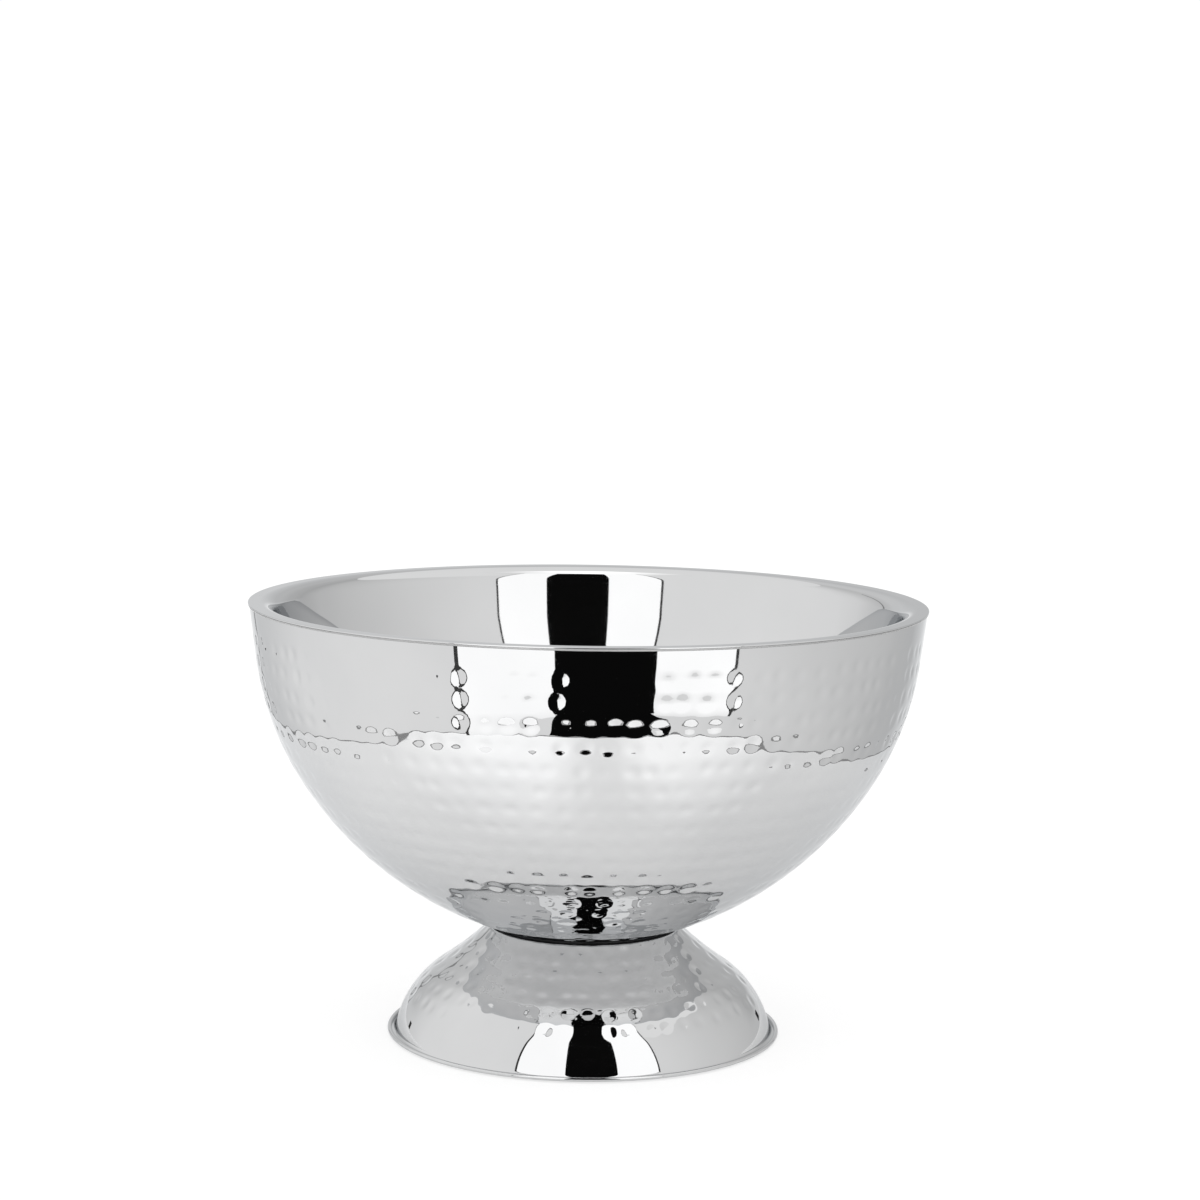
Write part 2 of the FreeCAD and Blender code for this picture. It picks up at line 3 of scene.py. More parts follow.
import bpy
import numpy as np
from mathutils import Euler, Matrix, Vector


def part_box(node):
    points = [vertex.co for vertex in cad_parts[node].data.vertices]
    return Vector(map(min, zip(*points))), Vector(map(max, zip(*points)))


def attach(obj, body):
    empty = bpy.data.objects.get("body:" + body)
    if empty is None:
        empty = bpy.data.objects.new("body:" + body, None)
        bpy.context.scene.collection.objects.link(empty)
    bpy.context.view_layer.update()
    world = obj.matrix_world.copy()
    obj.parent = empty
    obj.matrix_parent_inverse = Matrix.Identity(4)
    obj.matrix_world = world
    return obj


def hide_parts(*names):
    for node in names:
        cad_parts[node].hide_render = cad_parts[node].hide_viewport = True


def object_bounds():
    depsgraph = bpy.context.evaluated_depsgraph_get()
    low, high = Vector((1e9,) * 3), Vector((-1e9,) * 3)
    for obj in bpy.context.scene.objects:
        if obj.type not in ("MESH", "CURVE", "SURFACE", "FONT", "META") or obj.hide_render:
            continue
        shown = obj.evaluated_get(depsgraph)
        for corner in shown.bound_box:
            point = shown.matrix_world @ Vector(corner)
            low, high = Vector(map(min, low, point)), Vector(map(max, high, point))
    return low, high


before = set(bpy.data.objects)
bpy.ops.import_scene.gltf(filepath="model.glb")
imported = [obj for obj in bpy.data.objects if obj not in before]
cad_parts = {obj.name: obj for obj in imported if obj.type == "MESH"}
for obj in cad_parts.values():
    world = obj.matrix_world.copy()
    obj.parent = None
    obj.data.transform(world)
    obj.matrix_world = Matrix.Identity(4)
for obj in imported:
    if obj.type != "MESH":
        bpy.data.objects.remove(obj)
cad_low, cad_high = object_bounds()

# A double-wall punch bowl on a pedestal foot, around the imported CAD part.
# Shapes are worked out in millimetres and written to the meshes in metres.
MM = 0.001
BODY = "root"


def box_mm(node):
    """Outer radius, lowest and highest level of a turned CAD node, in millimetres."""
    low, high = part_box(node)
    return high.x / MM, low.z / MM, high.z / MM


RIM_RADIUS, LINER_LOW, RIM_LEVEL = box_mm("inner_liner")
SHELL_RADIUS, SHELL_LOW, SHELL_TOP = box_mm("outer_shell")
FOOT_RADIUS, FOOT_LOW, FOOT_TOP = box_mm("pedestal_foot")
GASKET_RADIUS, GASKET_LOW, GASKET_HIGH = box_mm("joint_gasket")
PLATE_RADIUS, PLATE_LOW, PLATE_HIGH = box_mm("backing_plate")
HEAD_RADIUS, STUD_LOW, STUD_HIGH = box_mm("base_stud")
CLAMP_RADIUS, CLAMP_LOW, CLAMP_HIGH = box_mm("clamp_washer")
SPRING_RADIUS, SPRING_LOW, SPRING_HIGH = box_mm("spring_washer")
NUT_CORNER, NUT_LOW, NUT_HIGH = box_mm("hex_nut")

# Sizes that the boxes don't give, the same as in the CAD.
LINER_SHEET = RIM_LEVEL - SHELL_TOP
LINER_SPHERE = 174.0
LINER_CENTRE = (0.0, RIM_LEVEL + 10.0)
LINER_LEAN = 13.0
RIM_ROLL = 9.0
SHELL_SHEET = 0.8
BAND_LEAN = 7.25
BAND_LENGTH = 29.1
SIDE_ARC = 168.0
SIDE_ARC_END = 145.0
BOTTOM_ARC = 205.0
STUD_HOLE = 4.3
FOOT_SHEET = 0.8
SHELF_RADIUS = 54.1
NECK_ARC = 200.0
NECK_CENTRE = (195.69, 202.25)
NECK_ARC_END = 37.0
SHOULDER_ARC = 57.0
FLARE_ARC = 2.0
FLARE_CENTRE = (108.5, FOOT_LOW + FOOT_SHEET + FLARE_ARC)
BEAD = 1.2
BEAD_CENTRE = (FOOT_RADIUS - BEAD, FOOT_LOW + BEAD)
BEAD_END = 190.0
GASKET_HOLE = 38.0
STUD_SHANK = 4.0
STUD_HEAD = 2.5
THREAD_PITCH = 1.25
THREAD_DEPTH = 0.65
SPRING_GAP = 2.2
NUT_FLAT = 6.5
NUT_BORE = 4.05
NUT_CHAMFER = 0.9


# ---------------------------------------------------------------- outlines


def on_circle(centre, radius, angle):
    turned = math.radians(angle)
    return (centre[0] + radius * math.cos(turned), centre[1] + radius * math.sin(turned))


def angle_at_level(centre, radius, level):
    """Degrees at which the right half of a circle reaches a level."""
    return math.degrees(math.asin((level - centre[1]) / radius))


def angle_to(centre, point):
    return math.degrees(math.atan2(point[1] - centre[1], point[0] - centre[0]))


def arc(centre, radius, first, last, step):
    """Points about step apart along an arc, ends included."""
    count = max(3, math.ceil(abs(math.radians(last - first)) * radius / step) + 1)
    return [on_circle(centre, radius, a) for a in np.linspace(first, last, count)]


def straight(start, end, step):
    count = max(2, math.ceil(math.dist(start, end) / step) + 1)
    return [tuple(p) for p in np.linspace(start, end, count)]


def chain(*stretches):
    """One outline out of stretches that follow each other, with no point twice."""
    points = []
    for stretch in stretches:
        for point in stretch:
            if not points or math.dist(points[-1], point) > 1e-4:
                points.append(point)
    return np.array(points)


def lengths_along(points):
    """Distance of each point from the first, along the outline."""
    steps = np.linalg.norm(np.diff(points, axis=0), axis=1)
    return np.concatenate([[0.0], np.cumsum(steps)])


def left_normals(points):
    """Unit vectors to the left of the way along the outline."""
    along = np.gradient(points, axis=0)
    along /= np.linalg.norm(along, axis=1)[:, None]
    return np.stack([-along[:, 1], along[:, 0]], axis=1)


# ---------------------------------------------------------------- turned pieces


def columns_for(widest):
    """How many columns a ring gets: fewer towards the axis, so that faces stay even."""
    def columns(radius):
        if radius < 1e-3:
            return 1
        share = 1
        while share < 32 and radius < 0.52 * widest[1] / share:
            share *= 2
        return widest[0] // share
    return columns


class Turned:
    """A closed skin turned about the Z axis: rings of points, each joined to the next."""

    def __init__(self, name):
        self.name = name
        self.rings = []
        self.looks = []

    def add(self, points, columns, look=0, shift=None):
        """shift(angles, number, point) moves a ring: new radii and levels for its columns."""
        for number, point in enumerate(points):
            count = columns(point[0]) if callable(columns) else columns
            if point[0] < 1e-3:
                count = 1
            angles = np.arange(count) * (2 * math.pi / count)
            radius = np.full(count, float(point[0]))
            level = np.full(count, float(point[1]))
            if shift is not None:
                radius, level = shift(angles, number, point)
            ring = np.stack([radius * np.cos(angles), radius * np.sin(angles), level], axis=1)
            self.rings.append(ring)
            self.looks.append(look)

    def faces_between(self, first, first_count, last, last_count):
        faces = []
        if first_count == last_count:
            for a in range(first_count):
                b = (a + 1) % first_count
                faces.append((first + a, first + b, last + b, last + a))
            return faces
        a = b = 0
        while a < first_count or b < last_count:
            this, other = first + a % first_count, last + b % last_count
            ahead = (a + 1) * last_count <= (b + 1) * first_count
            if a < first_count and (ahead or b >= last_count):
                if first_count > 1:
                    faces.append((this, first + (a + 1) % first_count, other))
                a += 1
            else:
                if last_count > 1:
                    faces.append((this, last + (b + 1) % last_count, other))
                b += 1
        return faces

    def build(self, materials, replaced=None, sharp=35.0):
        """The mesh object; sharp is the angle above which an edge isn't shaded smooth."""
        starts = np.concatenate([[0], np.cumsum([len(ring) for ring in self.rings])])
        points = np.concatenate(self.rings) * MM
        faces, looks = [], []
        for number, ring in enumerate(self.rings):
            after = (number + 1) % len(self.rings)
            if len(ring) == 1 and len(self.rings[after]) == 1:
                continue
            made = self.faces_between(
                int(starts[number]), len(ring), int(starts[after]), len(self.rings[after])
            )
            faces += made
            looks += [self.looks[number]] * len(made)
        if signed_volume(points, faces) < 0:
            faces = [face[::-1] for face in faces]
        return mesh_piece(self.name, points, faces, looks, materials, replaced, sharp)


def signed_volume(points, faces):
    total = 0.0
    for size in (3, 4):
        some = np.array([face for face in faces if len(face) == size])
        if len(some) == 0:
            continue
        corners = points[some]
        for turn in range(1, size - 1):
            a, b, c = corners[:, 0], corners[:, turn], corners[:, turn + 1]
            total += float(np.einsum("ij,ij->i", a, np.cross(b, c)).sum())
    return total


def mesh_piece(name, points, faces, looks, materials, replaced, sharp):
    mesh = bpy.data.meshes.new(name)
    mesh.from_pydata(points.tolist(), [], faces)
    for material in materials:
        mesh.materials.append(material)
    mesh.polygons.foreach_set("material_index", looks)
    mesh.polygons.foreach_set("use_smooth", [True] * len(faces))
    mesh.set_sharp_from_angle(angle=math.radians(sharp))
    mesh.update()
    piece = bpy.data.objects.new(name, mesh)
    bpy.context.scene.collection.objects.link(piece)
    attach(piece, BODY)
    if replaced:
        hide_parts(replaced)
    return piece


# ---------------------------------------------------------------- hammer marks


class Hammering:
    """Rows of shallow round hammer marks round a turned sheet.

    Each row lies at one distance along the outline. The marks in it are unevenly spaced,
    and no two have quite the same width, height and depth.
    """

    GROOVE_HALF = 6.5

    def __init__(self, seed, rows, spacing, half_size, depth, groove):
        """rows: (distance along the outline, radius there) of each row."""
        chance = np.random.RandomState(seed)
        self.rows = []
        for along, radius in rows:
            count = max(6, round(2 * math.pi * radius / spacing))
            angles = np.arange(count) + chance.uniform(0, 1) + chance.uniform(-0.21, 0.21, count)
            row = {
                "along": along,
                "angles": angles * (2 * math.pi / count),
                "off": chance.uniform(-0.7, 0.7, count),
                "half_width": half_size * chance.uniform(0.84, 1.16, count),
                "half_height": half_size * chance.uniform(0.82, 1.04, count),
                "depth": depth * chance.uniform(0.62, 1.18, count),
            }
            self.rows.append(row)
        self.reach = half_size * 1.2 + 0.8
        self.groove = groove

    def depth_at(self, angles, along, radius):
        """How deep the sheet is pushed in, for each angle, at one distance along the outline."""
        deepest = np.zeros(len(angles))
        dip = 0.0
        for row in self.rows:
            away = along - row["along"]
            if abs(away) < self.GROOVE_HALF:
                dip = max(dip, self.groove * (1 - (away / self.GROOVE_HALF) ** 2) ** 2)
            if abs(away) > self.reach:
                continue
            turn = angles[:, None] - row["angles"][None, :]
            turn = (turn + math.pi) % (2 * math.pi) - math.pi
            across = radius * turn / row["half_width"]
            up = (away - row["off"]) / row["half_height"]
            inside = np.clip(1 - across ** 2 - up[None, :] ** 2, 0, None)
            deepest = np.maximum(deepest, (row["depth"] * inside ** 2).max(axis=1))
        return deepest + dip


def pushed(points, normals, along, hammering, sheet=0.0):
    """A shift for Turned.add: the ring moves along its normal, sheet deep and then by the marks."""
    def shift(angles, number, point):
        deep = sheet + hammering.depth_at(angles, along[number], point[0])
        across, up = normals[number]
        return point[0] + across * deep, point[1] + up * deep
    return shift


def rows_between(points, first, last, pitch, growth, chance):
    """Distances of the rows along an outline, the pitch growing a little, and the radii there."""
    along = lengths_along(points)
    rows, here = [], first
    while here < last:
        rows.append((here, float(np.interp(here, along, points[:, 0]))))
        here += pitch * chance.uniform(0.95, 1.05)
        pitch += growth
    return rows


# ---------------------------------------------------------------- materials


class Look:
    """A node material: one Principled shader and what is wired into it."""

    def __init__(self, name, **values):
        self.material = bpy.data.materials.new(name)
        self.material.use_nodes = True
        tree = self.material.node_tree
        self.nodes, self.links = tree.nodes, tree.links
        self.shader = self.nodes["Principled BSDF"]
        self.place = self.nodes.new("ShaderNodeTexCoord").outputs["Object"]
        for name, value in values.items():
            self.shader.inputs[name.replace("_", " ")].default_value = value

    def made(self, kind, settings=None, **inputs):
        node = self.nodes.new(kind)
        for name, value in (settings or {}).items():
            setattr(node, name, value)
        for name, value in inputs.items():
            socket = node.inputs[name.replace("_", " ")]
            if isinstance(value, bpy.types.NodeSocket):
                self.links.new(value, socket)
            else:
                socket.default_value = value
        return node

    def noise(self, scale, detail=2.0, place=None, roughness=0.5):
        node = self.made(
            "ShaderNodeTexNoise",
            Vector=place or self.place,
            Scale=scale,
            Detail=detail,
            Roughness=roughness,
        )
        return node.outputs["Fac"]

    def around(self, fine, slow):
        """A place whose patterns run round the axis: fine across the rings, slow along them."""
        parts = self.made("ShaderNodeSeparateXYZ", Vector=self.place)
        flat = self.made("ShaderNodeCombineXYZ", X=parts.outputs["X"], Y=parts.outputs["Y"])
        radius = self.made("ShaderNodeVectorMath", {"operation": "LENGTH"})
        self.links.new(flat.outputs["Vector"], radius.inputs[0])
        turn = self.worked("ARCTAN2", parts.outputs["Y"], parts.outputs["X"])
        across = self.scaled(radius.outputs["Value"], fine)
        down = self.scaled(parts.outputs["Z"], fine)
        along = self.scaled(turn, slow)
        return self.made("ShaderNodeCombineXYZ", X=across, Y=down, Z=along).outputs["Vector"]

    def worked(self, operation, *values):
        node = self.made("ShaderNodeMath", {"operation": operation})
        for socket, value in zip(node.inputs, values):
            if isinstance(value, bpy.types.NodeSocket):
                self.links.new(value, socket)
            else:
                socket.default_value = value
        return node.outputs["Value"]

    def scaled(self, value, factor):
        return self.worked("MULTIPLY", value, factor)

    def added(self, one, other):
        return self.worked("ADD", one, other)

    def axes(self):
        """The X, Y and Z of the place."""
        parts = self.made("ShaderNodeSeparateXYZ", Vector=self.place)
        return [parts.outputs[name] for name in "XYZ"]

    def spread(self, value, low, high, start=0.3, end=0.7):
        """The value stretched from start..end to low..high."""
        node = self.made(
            "ShaderNodeMapRange",
            Value=value,
            From_Min=start,
            From_Max=end,
            To_Min=low,
            To_Max=high,
        )
        return node.outputs["Result"]

    def colours(self, value, low, high, start=0.3, end=0.7):
        node = self.made("ShaderNodeValToRGB", Fac=value)
        ramp = node.color_ramp
        ramp.elements[0].position, ramp.elements[0].color = start, (*low, 1)
        ramp.elements[1].position, ramp.elements[1].color = end, (*high, 1)
        return node.outputs["Color"]

    def wire(self, **sockets):
        for name, output in sockets.items():
            self.links.new(output, self.shader.inputs[name.replace("_", " ")])

    def bump(self, height, distance, strength=1.0):
        node = self.made("ShaderNodeBump", Height=height, Distance=distance, Strength=strength)
        self.wire(Normal=node.outputs["Normal"])


def polished_steel(name, wave, cloud):
    """Mirror polish: a slow waviness of the sheet, a faint haze and buffing marks round it."""
    look = Look(name, Metallic=1.0, Specular_Tint=(0.80, 0.81, 0.82, 1))
    haze = look.noise(cloud, 4.0)
    look.wire(Base_Color=look.colours(haze, (0.625, 0.628, 0.632), (0.672, 0.674, 0.676)))
    marks = look.noise(1.0, 3.0, look.around(900.0, 3.0), 0.6)
    rough = look.added(look.spread(haze, 0.012, 0.035), look.spread(marks, 0.0, 0.022, 0.45, 0.8))
    look.wire(Roughness=rough)
    look.bump(look.noise(wave, 2.0), 0.00008)
    return look.material


def satin_steel(name, fine, low, high, dark, light, depth):
    """Turned or spun steel: fine rings round the axis, uneven in depth."""
    look = Look(name, Metallic=1.0, Specular_Tint=(0.80, 0.81, 0.82, 1))
    rings = look.noise(1.0, 5.0, look.around(fine, 1.5), 0.7)
    stains = look.noise(38.0, 5.0)
    look.wire(Base_Color=look.colours(stains, dark, light, 0.25, 0.75))
    look.wire(Roughness=look.spread(look.added(rings, stains), low, high, 0.6, 1.4))
    look.bump(rings, depth)
    return look.material


def rubber(name):
    look = Look(name, Specular_IOR_Level=0.35)
    grain = look.noise(2600.0, 3.0)
    wear = look.noise(60.0, 4.0)
    look.wire(Base_Color=look.colours(wear, (0.010, 0.010, 0.011), (0.028, 0.028, 0.030)))
    look.wire(Roughness=look.spread(grain, 0.55, 0.80))
    look.bump(grain, 0.00006)
    return look.material


def weld_metal(name):
    """The dressed bead: brushed along the seam, dull and darker than the sheets."""
    look = Look(name, Metallic=1.0)
    rings = look.noise(1.0, 4.0, look.around(2500.0, 60.0), 0.7)
    tint = look.noise(25.0, 3.0)
    look.wire(Base_Color=look.colours(tint, (0.40, 0.40, 0.40), (0.48, 0.48, 0.48)))
    look.wire(Roughness=look.spread(rings, 0.18, 0.30))
    look.bump(rings, 0.00001)
    return look.material


MIRROR = polished_steel("liner_mirror_steel", 14.0, 9.0)
HAMMERED = polished_steel("hammered_mirror_steel", 22.0, 12.0)
SPUN = satin_steel("spun_satin_steel", 1700.0, 0.16, 0.34, (0.50, 0.50, 0.50), (0.60, 0.60, 0.61), 0.00003)
TURNED = satin_steel("turned_steel", 3200.0, 0.22, 0.40, (0.46, 0.46, 0.45), (0.58, 0.58, 0.58), 0.00004)
ZINC = satin_steel("plated_steel", 1200.0, 0.25, 0.45, (0.44, 0.45, 0.47), (0.58, 0.59, 0.61), 0.00002)
RUBBER = rubber("black_rubber_ring")
WELD = weld_metal("dressed_weld_steel")


# ---------------------------------------------------------------- inner liner and rim


def sheet_waves(seed, height, shortest):
    """Slow waves round a spun sheet: height in millimetres for each angle and distance along."""
    chance = np.random.RandomState(seed)
    waves = []
    for turns in range(2, 12):
        waves.append((turns, chance.uniform(0, 2 * math.pi), chance.uniform(shortest, 3 * shortest)))
    return lambda angles, along: height * sum(
        np.sin(turns * angles + phase + along / length) / turns for turns, phase, length in waves
    )


def make_inner_liner():
    """A bowl that goes over into a slightly leaning wall, a roll and the flat flange."""
    lean = math.radians(LINER_LEAN)
    wall_low = on_circle(LINER_CENTRE, LINER_SPHERE, -LINER_LEAN)
    rise = RIM_LEVEL - RIM_ROLL + RIM_ROLL * math.sin(lean) - wall_low[1]
    wall_top = (wall_low[0] + rise * math.tan(lean), wall_low[1] + rise)
    roll_centre = on_circle(wall_top, RIM_ROLL, -LINER_LEAN)
    roll_end = roll_centre[0] + 1.0
    edge = LINER_SHEET / 2
    edge_centre = (RIM_RADIUS - edge, RIM_LEVEL - edge)
    under = LINER_SPHERE + LINER_SHEET
    inside = chain(
        arc(LINER_CENTRE, LINER_SPHERE, -90, -LINER_LEAN - 2.0, 3.2),
        arc(LINER_CENTRE, LINER_SPHERE, -LINER_LEAN - 2.0, -LINER_LEAN, 1.2),
        straight(wall_low, wall_top, 1.6),
        arc(roll_centre, RIM_ROLL, 180 - LINER_LEAN, 90, 0.5),
        straight((roll_centre[0], RIM_LEVEL), (roll_end, RIM_LEVEL), 0.5),
        straight((roll_end, RIM_LEVEL), (edge_centre[0] - 0.6, RIM_LEVEL), 2.0),
        straight((edge_centre[0] - 0.6, RIM_LEVEL), (edge_centre[0], RIM_LEVEL), 0.3),
        arc(edge_centre, edge, 90, -90, 0.12),
    )
    outside = chain(
        straight((edge_centre[0] - 0.6, SHELL_TOP), (roll_centre[0], SHELL_TOP), 4.0),
        arc(roll_centre, RIM_ROLL - LINER_SHEET, 90, 180 - LINER_LEAN, 1.2),
        arc(LINER_CENTRE, under, -LINER_LEAN, -90, 5.0),
    )
    inside[0][0] = outside[-1][0] = 0.0
    waves = sheet_waves(11, 0.035, 40.0)
    along = lengths_along(inside)
    normals = left_normals(inside)
    calm = np.interp(along, [0, 30, along[-1] - 22, along[-1] - 8], [0, 1, 1, 0])

    def shift(angles, number, point):
        wave = waves(angles, along[number]) * calm[number]
        return point[0] + normals[number][0] * wave, point[1] + normals[number][1] * wave

    liner = Turned("liner_sheet")
    columns = columns_for((384, RIM_RADIUS))
    liner.add(inside, columns, 0, shift)
    liner.add(outside, columns, 1)
    liner.build([MIRROR, SPUN], "inner_liner")


# ---------------------------------------------------------------- outer shell


def shell_outline():
    """The outer side, from under the flange down to the flat floor, and the arcs' centres."""
    band_top = (SHELL_RADIUS, SHELL_TOP)
    band_low = on_circle(band_top, BAND_LENGTH, -90 - BAND_LEAN)
    side_centre = on_circle(band_low, SIDE_ARC, 180 - BAND_LEAN)
    turn = angle_at_level(side_centre, SIDE_ARC, SIDE_ARC_END)
    bottom_centre = on_circle(on_circle(side_centre, SIDE_ARC, turn), BOTTOM_ARC, turn + 180)
    last = angle_at_level(bottom_centre, BOTTOM_ARC, SHELL_LOW)
    return band_top, band_low, side_centre, turn, bottom_centre, last


def make_outer_shell():
    band_top, band_low, side_centre, turn, bottom_centre, last = shell_outline()
    step = 1.75
    smooth_band = 9.0
    band_mid = on_circle(band_top, smooth_band, -90 - BAND_LEAN)
    floor_edge = on_circle(bottom_centre, BOTTOM_ARC, last)
    outside = chain(
        straight(band_top, band_mid, 3.0),
        straight(band_mid, band_low, step),
        arc(side_centre, SIDE_ARC, -BAND_LEAN, turn, step),
        arc(bottom_centre, BOTTOM_ARC, turn, last + 0.12, step),
        straight(on_circle(bottom_centre, BOTTOM_ARC, last + 0.12), floor_edge, 0.4),
    )
    floor_under = chain(
        straight((floor_edge[0] - 0.4, SHELL_LOW), (GASKET_RADIUS - 1, SHELL_LOW), 2.0),
        straight((GASKET_RADIUS - 1, SHELL_LOW), (STUD_HOLE, SHELL_LOW), 12.0),
    )
    floor_level = SHELL_LOW + SHELL_SHEET
    under_last = angle_at_level(bottom_centre, BOTTOM_ARC - SHELL_SHEET, floor_level)
    floor_upper_edge = on_circle(bottom_centre, BOTTOM_ARC - SHELL_SHEET, under_last)
    inside = chain(
        straight((STUD_HOLE, floor_level), floor_upper_edge, 12.0),
        arc(bottom_centre, BOTTOM_ARC - SHELL_SHEET, under_last, turn, 8.0),
        arc(side_centre, SIDE_ARC - SHELL_SHEET, turn, -BAND_LEAN, 8.0),
        straight(
            on_circle(side_centre, SIDE_ARC - SHELL_SHEET, -BAND_LEAN),
            (SHELL_RADIUS - SHELL_SHEET, SHELL_TOP),
            8.0,
        ),
    )
    along = lengths_along(outside)
    chance = np.random.RandomState(5)
    rows = rows_between(outside, 16.8, along[-1] - 6.0, 11.9, 0.11, chance)
    hammering = Hammering(23, rows, 13.0, 5.3, 0.40, 0.07)
    inward = -left_normals(outside)

    shell = Turned("hammered_shell")
    columns = columns_for((704, SHELL_RADIUS))
    shell.add(outside, columns, 0, pushed(outside, inward, along, hammering))
    shell.add(floor_under, columns, 0)
    shell.add(inside, 176, 1)
    shell.build([HAMMERED, SPUN], "outer_shell")


def make_seam_weld():
    """The bead in the corner under the flange, with the ripples that the torch leaves."""
    drop, width = 1.0, 0.6
    lean = math.tan(math.radians(BAND_LEAN))
    top = SHELL_TOP
    corner = (SHELL_RADIUS - 0.05, top + 0.02)
    outline = [
        corner,
        (SHELL_RADIUS + width, top + 0.02),
        (SHELL_RADIUS + width - 0.10, top - 0.28),
        (SHELL_RADIUS + 0.26, top - 0.62),
        (SHELL_RADIUS + 0.02, top - drop * 0.9),
        (SHELL_RADIUS - drop * lean - 0.04, top - drop),
        (SHELL_RADIUS - 0.12, top - 0.5),
    ]
    face = (2, 3, 4)
    ripples, depth = 700, 0.02

    def shift(angles, number, point):
        radius = np.full(len(angles), point[0])
        if number in face:
            radius = radius - depth * (0.5 + 0.5 * np.sin(ripples * angles + 1.7 * np.sin(9 * angles)))
        return radius, np.full(len(angles), point[1])

    weld = Turned("seam_weld_bead")
    weld.add(np.array(outline), 2800, 0, shift)
    weld.build([WELD], "rim_seam_weld", 50.0)


# ---------------------------------------------------------------- pedestal foot


def make_pedestal_foot():
    neck_first = angle_to(NECK_CENTRE, (SHELF_RADIUS, FOOT_TOP))
    neck_end = on_circle(
        NECK_CENTRE, NECK_ARC, -180 - angle_at_level(NECK_CENTRE, NECK_ARC, NECK_ARC_END)
    )
    neck_last = angle_to(NECK_CENTRE, neck_end)
    shoulder_centre = on_circle(neck_end, SHOULDER_ARC, neck_last)
    flare_way = angle_to(shoulder_centre, FLARE_CENTRE)
    step = 1.35
    lift = FOOT_LOW + FOOT_SHEET
    top = chain(
        straight((STUD_HOLE, FOOT_TOP), (SHELF_RADIUS - 3.0, FOOT_TOP), 12.0),
        straight((SHELF_RADIUS - 3.0, FOOT_TOP), (SHELF_RADIUS - 0.3, FOOT_TOP), 1.4),
        arc(NECK_CENTRE, NECK_ARC, neck_first + 0.05, neck_last, step),
        arc(shoulder_centre, SHOULDER_ARC, neck_last + 180, flare_way, step),
        arc(FLARE_CENTRE, FLARE_ARC, flare_way + 180, 270, 0.35),
        straight((FLARE_CENTRE[0], lift), (BEAD_CENTRE[0], lift), 0.5),
    )
    bead_inner = BEAD - FOOT_SHEET
    bead = chain(
        arc(BEAD_CENTRE, bead_inner, -90, BEAD_END, 0.22),
        straight(
            on_circle(BEAD_CENTRE, bead_inner, BEAD_END), on_circle(BEAD_CENTRE, BEAD, BEAD_END), 0.3
        ),
        arc(BEAD_CENTRE, BEAD, BEAD_END, -90, 0.3),
        straight((BEAD_CENTRE[0], FOOT_LOW), (FLARE_CENTRE[0], FOOT_LOW), 0.6),
    )
    under = chain(
        arc(FLARE_CENTRE, FLARE_ARC + FOOT_SHEET, 270, flare_way + 180, 0.6),
        arc(shoulder_centre, SHOULDER_ARC - FOOT_SHEET, flare_way, neck_last + 180, 2.2),
        arc(NECK_CENTRE, NECK_ARC + FOOT_SHEET, neck_last, neck_first, 2.2),
        straight(
            (SHELF_RADIUS - 1.0, FOOT_TOP - FOOT_SHEET), (STUD_HOLE, FOOT_TOP - FOOT_SHEET), 10.0
        ),
    )
    along = lengths_along(top)
    shelf = SHELF_RADIUS - STUD_HOLE
    chance = np.random.RandomState(8)
    rows = rows_between(top, shelf + 4.0, shelf + 61.0, 10.4, 0.02, chance)
    hammering = Hammering(41, rows, 11.6, 4.9, 0.36, 0.06)
    inward = -left_normals(top)
    # The underside follows the same marks: its points are matched to the outer side by level.
    order = np.argsort(top[:, 1], kind="stable")
    under_along = np.interp(under[:, 1] + 0.3, top[order, 1], along[order])
    under_normals = left_normals(under)
    calm = (under[:, 1] > lift + 3.0) & (under[:, 0] > SHELF_RADIUS)

    def under_shift(angles, number, point):
        deep = hammering.depth_at(angles, under_along[number], point[0]) * calm[number]
        across, up = under_normals[number]
        return point[0] + across * deep, point[1] + up * deep

    foot = Turned("hammered_foot")
    columns = columns_for((512, FOOT_RADIUS))
    foot.add(top, columns, 0, pushed(top, inward, along, hammering))
    foot.add(bead, 512, 0)
    foot.add(under, 512, 1, under_shift)
    foot.build([HAMMERED, SPUN], "pedestal_foot")


# ---------------------------------------------------------------- the joint in the middle


def rounded_ring(inner, outer, low, high, edge):
    """The outline of a flat ring whose four corners are rounded."""
    return chain(
        arc((inner + edge, low + edge), edge, 180, 270, edge / 3),
        arc((outer - edge, low + edge), edge, 270, 360, edge / 3),
        arc((outer - edge, high - edge), edge, 0, 90, edge / 3),
        arc((inner + edge, high - edge), edge, 90, 180, edge / 3),
    )


def make_gasket():
    """The rubber ring, squeezed so that its edge bulges and is not quite even."""
    uneven = sheet_waves(3, 0.10, 5.0)
    outline = rounded_ring(GASKET_HOLE, GASKET_RADIUS, GASKET_LOW, GASKET_HIGH, 0.7)

    def shift(angles, number, point):
        wave = uneven(angles, 0.0) if point[0] > GASKET_RADIUS - 1 else 0.0
        return point[0] + wave - 0.12, np.full(len(angles), point[1])

    ring = Turned("rubber_ring")
    ring.add(outline, 360, 0, shift)
    ring.build([RUBBER], "joint_gasket")


def make_flat_rings():
    plate = Turned("stiffening_disc")
    plate.add(rounded_ring(STUD_HOLE, PLATE_RADIUS, PLATE_LOW, PLATE_HIGH, 0.3), 144)
    plate.build([TURNED], "backing_plate")
    washer = Turned("wide_washer")
    washer.add(rounded_ring(STUD_HOLE, CLAMP_RADIUS, CLAMP_LOW, CLAMP_HIGH, 0.35), 120)
    washer.build([ZINC], "clamp_washer")


